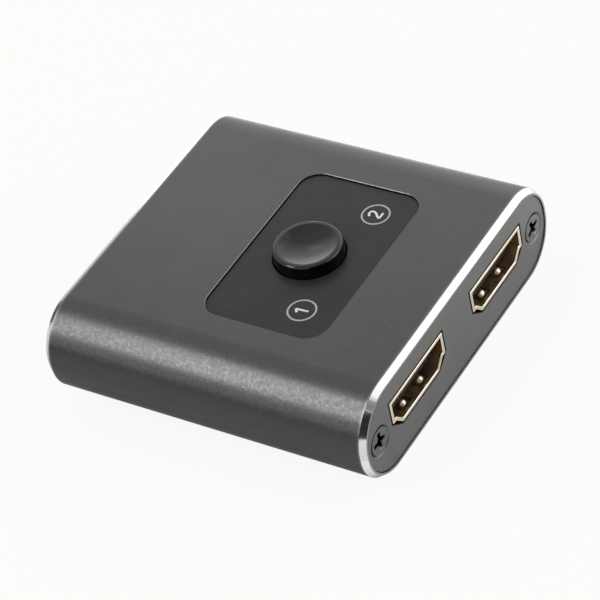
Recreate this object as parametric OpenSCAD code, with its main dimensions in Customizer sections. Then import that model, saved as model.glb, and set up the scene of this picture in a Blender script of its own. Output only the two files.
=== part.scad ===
// Two-way video switch box: an extruded aluminium sleeve closed by two screwed end plates,
// two video sockets in the front plate, one in the rear plate, and a push button in the top panel.
// Millimetres. X runs across the front, Y from front to rear, Z up from the rest face.
// The origin is at the middle of the rest face.

/* [Case] */
// Outside width of the sleeve
case_width = 53.5; // [52.5:0.5:70]
// Length of the sleeve from end to end
case_length = 52.6; // [50:0.2:80]
// Outside height of the sleeve
case_height = 15.3; // [14.8:0.1:20]
// Outside radius of the four long edges
case_corner = 7.3; // [5:0.1:7.3]
// Wall of the extruded sleeve
case_wall = 1.6; // [1.4:0.1:2.2]
// Wall left around each end plate
lip_wall = 0.9; // [0.75:0.05:1.2]
// Bright chamfer at each end, measured along the sleeve
chamfer_length = 0.85; // [0.3:0.05:1.2]
// Bright chamfer at each end, measured across the wall
chamfer_inset = 0.6; // [0.2:0.05:0.65]

/* [End plates] */
// Thickness of each end plate
plate_thickness = 1.5; // [1.3:0.1:2.5]
// How far each plate sits behind the end of the sleeve
plate_recess = 0.2; // [0:0.05:0.5]
// Gap between a plate's rim and the sleeve
plate_gap = 0.12; // [0.03:0.01:0.2]

/* [Screws] */
// Distance from the side of the sleeve to a screw's axis
screw_inset = 4.2; // [3.8:0.1:6]
// How far the screws sit below the middle of the sleeve's height
screw_drop = 0.2; // [-0.8:0.1:0.8]
// Outside diameter of the screw thread
screw_diameter = 2.5; // [2:0.1:3]
// Length of a screw from its head's face to its tip
screw_length = 8; // [5:0.5:12]
// Diameter of the countersunk head
head_diameter = 4.1; // [3.6:0.1:4.8]
// Height of the head's straight rim
head_rim = 0.3; // [0.1:0.05:0.3]
// How far the head's face sits behind the plate's face
head_drop = 0.05; // [0:0.05:0.2]
// Wall of the screw channel in the sleeve
boss_wall = 1; // [0.8:0.1:1.4]
// Width of the slit that opens the screw channel
boss_slit = 1; // [0.5:0.1:1.4]

/* [Top panel] */
// Size of the panel across the case
panel_width = 31; // [27:0.2:40]
// Size of the panel along the case
panel_length = 19.4; // [17:0.2:26]
// Corner radius of the panel
panel_corner = 3.1; // [1:0.1:6]
// Thickness of the panel
panel_thickness = 0.6; // [0.4:0.05:0.75]
// How far the panel's face sits below the top of the sleeve
panel_drop = 0.3; // [0.1:0.05:0.45]
// Gap around the panel in its pocket
panel_gap = 0.1; // [0.05:0.01:0.2]
// Bright chamfer around the rim of the panel's pocket
pocket_edge = 0.08; // [0.04:0.01:0.25]
// Distance from the middle of the case to the middle of the panel, towards the rear
panel_shift = -3.9; // [-6:0.1:-1]
// Thickness of the adhesive tape under the panel
tape_thickness = 0.1; // [0.05:0.01:0.15]
// Rim that the tape leaves free around the panel's edge
tape_inset = 0.4; // [0.2:0.1:1]

/* [Button] */
// Diameter of the button
button_diameter = 10.54; // [9:0.02:13]
// How far the button sinks when it is pressed
button_travel = 1.5; // [0.5:0.1:1.8]
// Height of the button's rim above the panel when it is pressed
button_pressed = 0.42; // [0.2:0.02:1.5]
// Distance from the middle of the panel to the button's axis, towards the rear
button_shift = 0.6; // [-1:0.1:1.5]
// How much smaller the button's radius is at its upper edge than at the panel
button_taper = 0.25; // [0:0.05:0.4]
// Rounding of the button's upper edge
button_round = 0.4; // [0.2:0.05:0.8]
// Depth of the dish in the button's face
dish_depth = 0.75; // [0.2:0.05:0.9]
// Width of the flat rim around the dish
dish_rim = 0.35; // [0.1:0.05:0.6]
// Gap around the button in the panel and in the sleeve
button_gap = 0.15; // [0.1:0.01:0.3]
// Thickness of the button's face over the switch stem
button_roof = 1.1; // [0.8:0.1:1.6]
// Wall of the button's skirt
skirt_wall = 1.1; // [0.8:0.1:1.6]
// Width of the flange that holds the button in the case
flange_width = 1; // [0.6:0.1:1.6]
// Thickness of that flange
flange_thickness = 1; // [0.6:0.1:1.2]

/* [Indicators] */
// Distance between the two light holes
light_spacing = 20.9; // [19:0.1:24]
// Distance from the middle of the panel to the light holes, towards the rear
light_shift = -4.3; // [-5:0.1:-3]
// Diameter of a light hole
light_diameter = 3; // [2:0.1:4]

/* [Switch] */
// Width and depth of the switch housing
switch_width = 6; // [5.4:0.1:7.5]
// Height of the switch housing above the board
switch_height = 4.8; // [4.4:0.1:5.2]
// Thickness of the switch base
switch_base_height = 1; // [0.8:0.1:1.2]
// Thickness of the switch cover's roof
switch_roof = 0.7; // [0.5:0.1:0.9]
// Diameter of the switch stem
stem_diameter = 3; // [2.8:0.1:3.6]
// Diameter of the collar that keeps the stem in the switch
collar_diameter = 4.4; // [4:0.1:4.8]
// Height of the collar
collar_height = 1; // [0.6:0.1:1.2]
// Outside diameter of the return spring
spring_diameter = 1.74; // [1.6:0.02:1.8]
// Wire of the return spring
spring_wire = 0.24; // [0.16:0.02:0.26]
// Curls of the return spring
spring_curls = 6; // [4:1:6]
// Depth of the spring's pocket in the stem
spring_pocket = 2.4; // [2:0.1:2.8]
// Distance between neighbouring switch pins
pin_pitch = 2; // [1.6:0.1:2.2]
// Distance between the two rows of switch pins
pin_rows = 4; // [3:0.1:4.6]
// Diameter of a switch pin
pin_diameter = 0.5; // [0.4:0.05:0.7]

/* [Sockets] */
// Gap between a screw channel and the front socket beside it
socket_gap = 1.45; // [0.8:0.05:4]
// Height of the sockets' middle above the middle of the sleeve
socket_rise = 0.67; // [0.3:0.01:1.2]
// Width of a socket's opening
opening_width = 14; // [13.6:0.1:14.4]
// Height of a socket's opening
opening_height = 4.55; // [4.4:0.05:4.8]
// Height of the upright sides of the opening
side_height = 3; // [2.6:0.1:3.4]
// Small level step under each upright side
step_width = 0.6; // [0.4:0.1:0.9]
// How much narrower the floor is than the opening, at each side
toe_inset = 2.05; // [1.6:0.05:2.4]
// Inside radius of the shell's bends
bend_radius = 0.25; // [0.1:0.05:0.3]
// Sheet thickness of the socket shell
shell_wall = 0.3; // [0.2:0.05:0.35]
// Length of the socket shell
socket_length = 11.2; // [10.6:0.1:12.5]
// Gap between the shell and its cut-out in the end plate
cutout_gap = 0.35; // [0.15:0.05:0.4]
// Gap between the shell's floor and the board
socket_seat = 0.2; // [0.1:0.05:0.4]
// Distance between the two spring fingers of a wall
finger_spacing = 4.9; // [4:0.1:5.4]
// Width of a spring finger
finger_width = 1.9; // [1.5:0.1:2.1]
// Length of a spring finger
finger_length = 5; // [4:0.1:6]
// Slit around a spring finger
finger_slit = 0.25; // [0.15:0.05:0.35]
// Distance from the mouth to the slit at a finger's tip
finger_start = 0.75; // [0.6:0.05:0.9]
// Distance from the mouth to the middle of a finger's dimple
dimple_place = 1.7; // [1.6:0.05:2.2]
// Radius of a dimple at the sheet
dimple_radius = 0.6; // [0.4:0.05:0.6]
// Height of a dimple above the sheet
dimple_height = 0.5; // [0.2:0.05:0.5]
// Width of the shell's board legs
leg_width = 1.3; // [1:0.1:1.6]
// Distance from the mouth to the front legs
front_leg_place = 3.6; // [3.5:0.1:5]
// Distance from the mouth to the rear legs
rear_leg_place = 9.4; // [7:0.1:9.8]
// How far legs and pins reach through the board
lead_reach = 0.9; // [0.5:0.1:1.3]

/* [Socket inserts] */
// Width of the tongue
tongue_width = 11.2; // [10.6:0.1:11.8]
// Thickness of the tongue
tongue_thickness = 1.3; // [1.1:0.05:1.5]
// Distance from the mouth to the tongue's tip
tongue_setback = 1.3; // [1.2:0.1:2]
// Length of the insulator's body inside the shell
body_length = 4; // [3:0.1:5]
// Length of the insulator's heel behind the shell
heel_length = 1.2; // [0.8:0.1:1.6]
// Distance between neighbouring contacts of one row
contact_pitch = 1; // [0.9:0.02:1.06]
// Contacts in the upper row, with one fewer in the lower row
contact_count = 10; // [6:1:10]
// Width of a contact
contact_width = 0.3; // [0.2:0.02:0.36]
// Sheet thickness of a contact
contact_thickness = 0.14; // [0.1:0.02:0.2]
// Distance from the tongue's tip to the contacts
contact_setback = 0.7; // [0.4:0.1:1.2]
// Length of a contact's foot on the board
foot_length = 0.8; // [0.5:0.1:1.2]

/* [Circuit board] */
// Thickness of the board
board_thickness = 1.2; // [1:0.1:1.6]
// Gap between the board and the end plates
board_end_gap = 0.1; // [0.05:0.01:0.2]
// Gap above and below the board in its rails
rail_gap = 0.05; // [0.03:0.01:0.1]
// How far the rails reach over the board's edge
rail_grip = 0.6; // [0.5:0.1:0.8]
// Thickness of a rail
rail_thickness = 0.9; // [0.6:0.1:1.1]
// Gap around legs and pins in the board
lead_gap = 0.1; // [0.05:0.01:0.15]
// Width and depth of the signal chip
chip_size = 7; // [5:0.5:8]
// Height of the signal chip
chip_height = 0.85; // [0.7:0.05:1.2]
// Gap between the switch and the signal chip
chip_gap = 3.1; // [1:0.1:4.2]
// Length of a chip capacitor or chip resistor
chip_part_length = 1.6; // [1:0.1:2]
// Width of a chip capacitor or chip resistor
chip_part_width = 0.8; // [0.5:0.1:1]
// Height of a chip capacitor
capacitor_height = 0.8; // [0.5:0.1:1]
// Height of a chip resistor
resistor_height = 0.45; // [0.3:0.05:0.6]
// Gap between neighbouring chip capacitors or resistors of one column
chip_part_gap = 0.4; // [0.2:0.1:0.8]
// Gap between the chip and the capacitors, and between those and the resistors
column_gap = 2; // [1:0.1:2.4]
// Parts in each column of capacitors or resistors
chip_part_count = 4; // [2:1:4]

/* [Hidden] */

// Smoothness of round forms
$fn = 96;
// How far a cutting shape runs past the face that it opens
past = 1;
// Two ends and two sides
sides = [-1, 1];

// Case
case_mid = case_height / 2;
ceiling = case_height - case_wall;
plate_face = case_length / 2 - plate_recess;
plate_back = plate_face - plate_thickness;

// Screws
screw_x = case_width / 2 - screw_inset;
screw_z = case_mid - screw_drop;
screw_radius = screw_diameter / 2;
screw_turns = [0, 20];
thread_gap = 0.03;
boss_radius = screw_radius + boss_wall;
head_radius = head_diameter / 2;
head_gap = 0.05;
sink_radius = head_radius + head_gap + head_rim + head_drop;
hole_gap = 0.15;
hole_radius = screw_radius + hole_gap;
tip_chamfer = 0.4;
cross_width = 0.7;
cross_reach = 3;
cross_depth = 1;
cross_core = 0.75;
cross_tip = 0.3;

// Panel and button
panel_face = case_height - panel_drop;
panel_back = panel_face - panel_thickness;
pocket_floor = panel_back - tape_thickness;
pocket_width = panel_width + 2 * panel_gap;
pocket_length = panel_length + 2 * panel_gap;
pocket_corner = panel_corner + panel_gap;
button_y = panel_shift + button_shift;
button_radius = button_diameter / 2;
button_hole = button_radius + button_gap;
button_top = panel_face + button_pressed + button_travel;
edge_radius = button_radius - button_taper - button_round;
dish_radius = edge_radius - dish_rim;
dish_sphere = (dish_radius * dish_radius + dish_depth * dish_depth) / (2 * dish_depth);
ceiling_gap = 0.1;
button_low = ceiling - ceiling_gap - flange_thickness;
light_radius = light_diameter / 2;
light_y = panel_shift + light_shift;

// Sockets and board
socket_z = case_mid + socket_rise;
socket_half_width = opening_width / 2;
socket_half_height = opening_height / 2;
socket_x = screw_x - boss_radius - socket_gap - shell_wall - socket_half_width;
shoulder = socket_half_height - side_height;
board_top = socket_z - socket_half_height - shell_wall - socket_seat;
board_low = board_top - board_thickness;
lead_low = board_low - lead_reach;
board_half_width = screw_x - boss_radius - rail_gap;
board_half_length = plate_back - board_end_gap;
rail_tip = board_half_width - rail_grip;
socket_floor = board_top - socket_z;
insert_gap = 0.04;
bend_steps = 4;
leg_places = [front_leg_place, rear_leg_place];
// Each socket as its place across the case and the end that it faces
input_1_place = [-socket_x, -1];
input_2_place = [socket_x, -1];
output_place = [0, 1];
socket_places = [input_1_place, input_2_place, output_place];

// Switch
stem_radius = stem_diameter / 2;
stem_gap = 0.1;
press_gap = 0.02;
collar_radius = collar_diameter / 2;
switch_top = board_top + switch_height;
switch_floor = board_top + switch_base_height;
collar_gap = 0.05;
collar_top = switch_top - switch_roof - collar_gap;
collar_low = collar_top - collar_height;
stem_top = button_top - dish_depth - button_roof;
spring_end_gap = 0.02;
spring_low = switch_floor + spring_end_gap;
spring_high = collar_low + spring_pocket - spring_end_gap;
spring_radius = (spring_diameter - spring_wire) / 2;
spring_clearance = 0.13;
peg_radius = spring_radius - spring_wire / 2 - spring_clearance;
peg_height = 1;
pin_depth = 0.6;
spring_rings_per_curl = 8;
spring_sides = 6;

// Parts on the board
chip_y = button_y + switch_width / 2 + chip_gap + chip_size / 2;
chip_part_pitch = chip_part_length + chip_part_gap;
capacitor_column = chip_size / 2 + column_gap + chip_part_width / 2;
resistor_column = capacitor_column + column_gap + chip_part_width;
chip_mark = 0.7;
chip_mark_depth = 0.07;
lamp_size = [2, 1.25, 0.3];
lamp_lens = [1.4, 1.25, 0.5];
end_cap_length = 0.3;
end_cap_step = 0.03;

// Plain helpers

// Runs a flat shape, drawn in X and Z, along Y from start to end
module along_y(start, end) {
    translate([0, end, 0])
        rotate([90, 0, 0])
            linear_extrude(end - start)
                children();
}

// Rounded rectangle about the origin
module rounded_rect(width, height, radius) {
    square([width - 2 * radius, height], center = true);
    square([width, height - 2 * radius], center = true);
    for (x = sides, y = sides)
        translate([x * (width / 2 - radius), y * (height / 2 - radius)])
            circle(radius);
}

// Rounded rectangle that narrows by inset on every side as it rises
module rounded_frustum(width, height, radius, inset, rise) {
    flat_width = width - 2 * radius;
    flat_height = height - 2 * radius;
    for (x = sides, y = sides)
        translate([x * flat_width / 2, y * flat_height / 2, 0])
            cylinder(r1 = radius, r2 = radius - inset, h = rise);
    rotate([90, 0, 90])
        linear_extrude(flat_width, center = true)
            trapezoid(height / 2, inset, rise);
    rotate([90, 0, 0])
        linear_extrude(flat_height, center = true)
            trapezoid(width / 2, inset, rise);
}

module trapezoid(half_width, inset, rise) {
    polygon([
        [-half_width, 0],
        [half_width, 0],
        [half_width - inset, rise],
        [inset - half_width, rise]
    ]);
}

// Box from its lowest corner to its highest
module span(low, high) {
    translate(low)
        cube(high - low);
}

// Section of the case, drawn in X and Z and moved in by inset
module section(inset) {
    translate([0, case_mid])
        rounded_rect(case_width - 2 * inset, case_height - 2 * inset, case_corner - inset);
}

// Turns a shape that points up so that it points out of the front or rear end
module facing_end(end) {
    rotate([end < 0 ? 90 : -90, 0, 0])
        children();
}

// Sets a socket's shapes, drawn from the mouth inwards, at their place in the case
module at_socket(place) {
    translate([place[0], place[1] * plate_face, socket_z])
        rotate([0, 0, place[1] > 0 ? 180 : 0])
            children();
}

// Outline functions for the socket shell

function unit(v) = v / norm(v);
function right_normal(a, b) = let (d = unit(b - a)) [d[1], -d[0]];

// Outline moved outwards by the distance grow, with mitred corners; points run anticlockwise
function grown(points, grow) = let (count = len(points)) [
    for (i = [0 : count - 1])
        let (
            before = right_normal(points[(i + count - 1) % count], points[i]),
            after = right_normal(points[i], points[(i + 1) % count])
        )
        points[i] + grow * (before + after) / (1 + before * after)
];

// Points along the arc that rounds the corner at b
function corner_arc(a, b, c, radius) = let (
    u = unit(a - b),
    v = unit(c - b),
    half = acos(u * v) / 2,
    middle = b + unit(u + v) * radius / sin(half),
    first = b + u * radius / tan(half) - middle,
    last = b + v * radius / tan(half) - middle,
    start = atan2(first[1], first[0]),
    turn = atan2(first[0] * last[1] - first[1] * last[0], first * last)
) [
    for (i = [0 : bend_steps])
        middle + radius * [cos(start + turn * i / bend_steps), sin(start + turn * i / bend_steps)]
];

// Outline with each corner rounded
function rounded(points, radius) = let (count = len(points)) [
    for (i = [0 : count - 1])
        each corner_arc(points[(i + count - 1) % count], points[i], points[(i + 1) % count], radius)
];

// Left half of an outline follows from its right half, given from bottom to top
function both_halves(right) = concat(
    right,
    [for (i = [len(right) - 1 : -1 : 0]) [-right[i][0], right[i][1]]]
);

// Socket opening: wide at the top, with a small step and a slope to the narrow floor
opening_outline = both_halves([
    [socket_half_width - toe_inset, -socket_half_height],
    [socket_half_width - step_width, shoulder],
    [socket_half_width, shoulder],
    [socket_half_width, socket_half_height]
]);
// Plate cut-out: the same opening with a plain slope
cutout_outline = both_halves([
    [socket_half_width - toe_inset, -socket_half_height],
    [socket_half_width, shoulder],
    [socket_half_width, socket_half_height]
]);

// Case

module case_body() {
    straight = case_length / 2 - chamfer_length;
    along_y(-straight, straight)
        section(0);
    for (end = sides)
        translate([0, end * straight, case_mid])
            facing_end(end)
                rounded_frustum(case_width, case_height, case_corner, chamfer_inset, chamfer_length);
}

// Screw channels and board rails that the extruded hollow leaves standing
module channels_and_rails() {
    for (side = sides) {
        translate([side * screw_x, screw_z])
            circle(boss_radius);
        translate([side * (screw_x + screw_inset / 2), screw_z])
            square([screw_inset, 2 * boss_radius], center = true);
        translate([side * (rail_tip + screw_x) / 2, board_top + rail_gap + rail_thickness / 2])
            square([screw_x - rail_tip, rail_thickness], center = true);
        translate([side * (rail_tip + case_width / 2) / 2, board_low - rail_gap - rail_thickness / 2])
            square([case_width / 2 - rail_tip, rail_thickness], center = true);
    }
}

module hollow() {
    along_y(-case_length / 2 - past, case_length / 2 + past)
        difference() {
            section(case_wall);
            channels_and_rails();
        }
}

module screw_channels() {
    length = case_length + 2 * past;
    for (side = sides)
        translate([side * screw_x, 0, screw_z]) {
            rotate([90, 0, 0])
                cylinder(r = screw_radius + thread_gap, h = length, center = true);
            translate([-side * boss_radius / 2, 0, 0])
                cube([boss_radius + past, length, boss_slit], center = true);
        }
}

module plate_pockets() {
    for (end = sides) {
        inner = end * plate_back;
        outer = end * (case_length / 2 + past);
        along_y(min(inner, outer), max(inner, outer))
            section(lip_wall);
    }
}

module panel_pocket() {
    translate([0, panel_shift, pocket_floor])
        linear_extrude(case_height - pocket_floor + past)
            rounded_rect(pocket_width, pocket_length, pocket_corner);
    spread = pocket_edge + past;
    translate([0, panel_shift, case_height + past])
        mirror([0, 0, 1])
            rounded_frustum(
                pocket_width + 2 * spread,
                pocket_length + 2 * spread,
                pocket_corner + spread,
                spread,
                spread
            );
}

// Button hole and the two light holes, through whatever lies between low and high
module panel_holes(low, high, button_edge) {
    translate([0, button_y, low])
        cylinder(r = button_edge, h = high - low);
    light_holes(low, high);
}

module light_holes(low, high) {
    for (side = sides)
        translate([side * light_spacing / 2, light_y, low])
            cylinder(r = light_radius, h = high - low);
}

module case_sleeve() {
    color([0.33, 0.34, 0.34])
        difference() {
            case_body();
            hollow();
            screw_channels();
            plate_pockets();
            panel_pocket();
            panel_holes(ceiling - past, pocket_floor + past, button_hole);
        }
}

// End plates

module screw_sink() {
    sink_depth = sink_radius - hole_radius;
    translate([0, 0, -sink_depth])
        cylinder(r1 = hole_radius, r2 = sink_radius, h = sink_depth);
    translate([0, 0, -plate_thickness - past])
        cylinder(r = hole_radius, h = plate_thickness + 2 * past);
    cylinder(r = sink_radius, h = past);
}

module end_plate(end) {
    inner = end * plate_back;
    outer = end * plate_face;
    color([0.42, 0.42, 0.43])
        difference() {
            along_y(min(inner, outer), max(inner, outer))
                section(lip_wall + plate_gap);
            for (place = socket_places)
                if (place[1] == end)
                    at_socket(place)
                        along_y(-past, plate_thickness + past)
                            polygon(rounded(grown(cutout_outline, shell_wall + cutout_gap), bend_radius));
            for (side = sides)
                translate([side * screw_x, outer, screw_z])
                    facing_end(end)
                        screw_sink();
        }
}

module front_end_plate() {
    end_plate(-1);
}

module rear_end_plate() {
    end_plate(1);
}

// Screws

module cross_recess() {
    // The arms run out along a cone towards the tip of the recess
    lean = (cross_reach / 2 - cross_tip) / cross_depth;
    intersection() {
        for (turn = [0, 90])
            rotate(turn)
                cube([2 * cross_reach, cross_width, 3 * cross_depth], center = true);
        translate([0, 0, -cross_depth])
            cylinder(r1 = cross_tip, r2 = cross_reach / 2 + lean * past, h = cross_depth + past);
    }
    translate([0, 0, -cross_depth])
        cylinder(r1 = cross_tip, r2 = cross_core, h = cross_depth);
}

module screw() {
    cone = head_radius - screw_radius;
    difference() {
        union() {
            translate([0, 0, -head_rim])
                cylinder(r = head_radius, h = head_rim);
            translate([0, 0, -head_rim - cone])
                cylinder(r1 = screw_radius, r2 = head_radius, h = cone);
            translate([0, 0, -screw_length + tip_chamfer])
                cylinder(r = screw_radius, h = screw_length - tip_chamfer - head_rim - cone);
            translate([0, 0, -screw_length])
                cylinder(r1 = screw_radius - tip_chamfer, r2 = screw_radius, h = tip_chamfer);
        }
        cross_recess();
    }
}

module end_screws(end) {
    color([0.3, 0.3, 0.31])
        for (i = [0, 1])
            translate([sides[i] * screw_x, end * (plate_face - head_drop), screw_z])
                facing_end(end)
                    rotate(screw_turns[i])
                        screw();
}

module front_screws() {
    end_screws(-1);
}

module rear_screws() {
    end_screws(1);
}

// Top panel

module top_panel() {
    color([0.12, 0.12, 0.12])
        difference() {
            translate([0, panel_shift, panel_back])
                linear_extrude(panel_thickness)
                    rounded_rect(panel_width, panel_length, panel_corner);
            translate([0, button_y, panel_back - past])
                cylinder(r = button_hole, h = panel_thickness + 2 * past);
        }
}

module panel_tape() {
    color([0.85, 0.85, 0.8])
        difference() {
            translate([0, panel_shift, pocket_floor])
                linear_extrude(tape_thickness)
                    rounded_rect(
                        panel_width - 2 * tape_inset,
                        panel_length - 2 * tape_inset,
                        panel_corner - tape_inset
                    );
            panel_holes(pocket_floor - past, panel_back + past, button_hole + tape_inset);
        }
}

// Button

module button_profile() {
    height = button_top - button_low;
    boss = stem_radius + skirt_wall;
    roof = stem_top - button_low;
    // The side leans in above the panel and runs smoothly into the rounded edge
    foot = panel_face - button_low;
    middle = [edge_radius, height - button_round];
    across = [button_radius, foot] - middle;
    turn = atan2(across[1], across[0]) + acos(button_round / norm(across));
    touch = middle + button_round * [cos(turn), sin(turn)];
    difference() {
        union() {
            polygon([
                [0, 0], [button_radius, 0], [button_radius, foot], touch,
                middle, [edge_radius, height], [0, height]
            ]);
            translate(middle)
                circle(button_round);
            square([button_radius + flange_width, flange_thickness]);
        }
        translate([0, height - dish_depth + dish_sphere])
            circle(dish_sphere, $fn = 360);
        translate([0, -past])
            square([stem_radius + press_gap, roof + past]);
        translate([boss, -past])
            square([button_radius - skirt_wall - boss, roof + past]);
    }
}

module button_cap() {
    color([0.05, 0.05, 0.05])
        translate([0, button_y, button_low])
            rotate_extrude()
                button_profile();
}

// Switch

// Places of the switch pins around the switch's axis
pin_places = [for (column = [-1 : 1], row = sides) [column * pin_pitch, row * pin_rows / 2]];

module switch_base() {
    color([0.1, 0.1, 0.1])
        translate([0, button_y, board_top])
            difference() {
                union() {
                    translate([-switch_width / 2, -switch_width / 2, 0])
                        cube([switch_width, switch_width, switch_base_height]);
                    cylinder(r = peg_radius, h = switch_base_height + peg_height);
                }
                for (place = pin_places)
                    translate([place[0], place[1], -past])
                        cylinder(d = pin_diameter + 2 * press_gap, h = pin_depth + past);
            }
}

module switch_cover() {
    chamber_top = switch_top - switch_roof;
    color([0.75, 0.75, 0.74])
        translate([0, button_y, 0])
            difference() {
                translate([-switch_width / 2, -switch_width / 2, switch_floor])
                    cube([switch_width, switch_width, switch_top - switch_floor]);
                translate([0, 0, switch_floor - past])
                    cylinder(r = collar_radius + stem_gap, h = chamber_top - switch_floor + past);
                translate([0, 0, switch_floor])
                    cylinder(r = stem_radius + stem_gap, h = switch_height + past);
            }
}

module switch_plunger() {
    color([0.93, 0.93, 0.9])
        translate([0, button_y, 0])
            difference() {
                union() {
                    translate([0, 0, collar_low])
                        cylinder(r = collar_radius, h = collar_height);
                    translate([0, 0, collar_low])
                        cylinder(r = stem_radius, h = stem_top - collar_low);
                }
                translate([0, 0, collar_low - past])
                    cylinder(r = spring_diameter / 2 + spring_clearance, h = spring_pocket + past);
            }
}

// Points along the middle of the spring's wire
spring_rise = spring_high - spring_low - spring_wire;
spring_ring_count = spring_curls * spring_rings_per_curl;
spring_path = [
    for (i = [0 : spring_ring_count])
        let (angle = 360 * i / spring_rings_per_curl)
        [
            spring_radius * cos(angle),
            spring_radius * sin(angle),
            spring_low + spring_wire / 2 + spring_rise * i / spring_ring_count
        ]
];
// Least gap between neighbouring curls, measured between points at least half a curl apart
spring_least_gap = min([
    for (i = [0 : spring_ring_count], j = [i + spring_rings_per_curl / 2 : 1 : spring_ring_count])
        norm(spring_path[j] - spring_path[i])
]) - spring_wire;

module switch_spring() {
    echo(spring_least_gap = spring_least_gap);
    points = [
        for (i = [0 : spring_ring_count], k = [0 : spring_sides - 1])
            let (
                angle = 360 * i / spring_rings_per_curl,
                round = 360 * k / spring_sides,
                out = spring_wire / 2 * cos(round),
                up = spring_wire / 2 * sin(round)
            )
            spring_path[i] + [out * cos(angle), out * sin(angle), up]
    ];
    walls = [
        for (i = [0 : spring_ring_count - 1], k = [0 : spring_sides - 1])
            let (
                next = (k + 1) % spring_sides,
                low = i * spring_sides,
                high = low + spring_sides
            )
            each [[low + k, low + next, high + next], [low + k, high + next, high + k]]
    ];
    last = spring_ring_count * spring_sides;
    start_cap = [for (k = [1 : spring_sides - 2]) [0, k + 1, k]];
    end_cap = [for (k = [1 : spring_sides - 2]) [last, last + k, last + k + 1]];
    color([0.8, 0.8, 0.78])
        translate([0, button_y, 0])
            polyhedron(points, concat(walls, start_cap, end_cap));
}

module switch_pins() {
    color([0.85, 0.84, 0.8])
        for (place = pin_places)
            translate([place[0], button_y + place[1], lead_low])
                cylinder(d = pin_diameter, h = board_top + pin_depth - lead_low);
}

// Video sockets, each drawn from its mouth inwards, about the middle of its opening

module finger_slits() {
    slit_span = finger_width / 2 + finger_slit;
    for (side = sides, wall = sides)
        translate([side * finger_spacing / 2, finger_start, wall * (socket_half_height + shell_wall / 2)])
            difference() {
                translate([-slit_span, 0, -shell_wall])
                    cube([2 * slit_span, finger_length + finger_slit, 2 * shell_wall]);
                translate([-finger_width / 2, finger_slit, -2 * shell_wall])
                    cube([finger_width, finger_length + past, 4 * shell_wall]);
            }
}

// Dimples that stand into the opening from the fingers of both walls
module dimples() {
    ball = (dimple_radius * dimple_radius + dimple_height * dimple_height) / (2 * dimple_height);
    for (side = sides, wall = sides)
        translate([side * finger_spacing / 2, dimple_place, wall * socket_half_height])
            mirror([0, 0, wall > 0 ? 1 : 0])
                intersection() {
                    translate([0, 0, dimple_height - ball])
                        sphere(ball);
                    translate([-past, -past, -shell_wall / 2])
                        cube([2 * past, 2 * past, 2 * past]);
                }
}

// Board legs, bent down from the upright sides
module legs() {
    low = lead_low - socket_z;
    high = shoulder + side_height / 2;
    for (side = sides, place = leg_places)
        translate([side * (socket_half_width + shell_wall / 2), place, (low + high) / 2])
            cube([shell_wall, leg_width, high - low], center = true);
}

module socket_shell() {
    color([0.86, 0.76, 0.55])
        union() {
            difference() {
                along_y(0, socket_length)
                    polygon(rounded(grown(opening_outline, shell_wall), bend_radius));
                along_y(-past, socket_length + past)
                    polygon(rounded(opening_outline, bend_radius));
                finger_slits();
            }
            dimples();
            legs();
        }
}

// Side view of one contact: along the tongue, down behind the heel and out along the board
module contact_side(row) {
    outer = row * tongue_thickness / 2;
    inner = outer - row * contact_thickness;
    strip_low = min(outer, inner);
    strip_high = max(outer, inner);
    heel = socket_length + heel_length;
    polygon([
        [tongue_setback + contact_setback, strip_high],
        [heel + contact_thickness, strip_high],
        [heel + contact_thickness, socket_floor + contact_thickness],
        [heel + foot_length, socket_floor + contact_thickness],
        [heel + foot_length, socket_floor],
        [heel, socket_floor],
        [heel, strip_low],
        [tongue_setback + contact_setback, strip_low]
    ]);
}

module contact_set() {
    color([0.83, 0.68, 0.36])
        for (row = sides) {
            count = row > 0 ? contact_count : contact_count - 1;
            for (i = [0 : count - 1])
                translate([(i - (count - 1) / 2) * contact_pitch - contact_width / 2, 0, 0])
                    rotate([90, 0, 90])
                        linear_extrude(contact_width)
                            contact_side(row);
        }
}

module socket_insulator() {
    heel_half = socket_half_width - toe_inset + step_width;
    body_start = socket_length - body_length;
    color([0.06, 0.06, 0.06])
        difference() {
            union() {
                along_y(body_start, socket_length)
                    polygon(rounded(grown(opening_outline, -insert_gap), bend_radius - insert_gap));
                span(
                    [-tongue_width / 2, tongue_setback, -tongue_thickness / 2],
                    [tongue_width / 2, socket_length, tongue_thickness / 2]
                );
                span(
                    [-heel_half, socket_length, socket_floor],
                    [heel_half, socket_length + heel_length, socket_half_height - bend_radius]
                );
            }
            contact_set();
        }
}

module input_1_shell() {
    at_socket(input_1_place)
        socket_shell();
}

module input_1_insulator() {
    at_socket(input_1_place)
        socket_insulator();
}

module input_1_contacts() {
    at_socket(input_1_place)
        contact_set();
}

module input_2_shell() {
    at_socket(input_2_place)
        socket_shell();
}

module input_2_insulator() {
    at_socket(input_2_place)
        socket_insulator();
}

module input_2_contacts() {
    at_socket(input_2_place)
        contact_set();
}

module output_shell() {
    at_socket(output_place)
        socket_shell();
}

module output_insulator() {
    at_socket(output_place)
        socket_insulator();
}

module output_contacts() {
    at_socket(output_place)
        contact_set();
}

// Circuit board

module leg_holes() {
    low = board_low - socket_z - past;
    high = board_top - socket_z + past;
    for (side = sides, place = leg_places)
        translate([side * (socket_half_width + shell_wall / 2), place, (low + high) / 2])
            cube([shell_wall + 2 * lead_gap, leg_width + 2 * lead_gap, high - low], center = true);
}

module circuit_board() {
    color([0.1, 0.35, 0.2])
        difference() {
            span(
                [-board_half_width, -board_half_length, board_low],
                [board_half_width, board_half_length, board_top]
            );
            for (place = socket_places)
                at_socket(place)
                    leg_holes();
            for (place = pin_places)
                translate([place[0], button_y + place[1], board_low - past])
                    cylinder(d = pin_diameter + 2 * lead_gap, h = board_thickness + 2 * past);
        }
}

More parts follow.
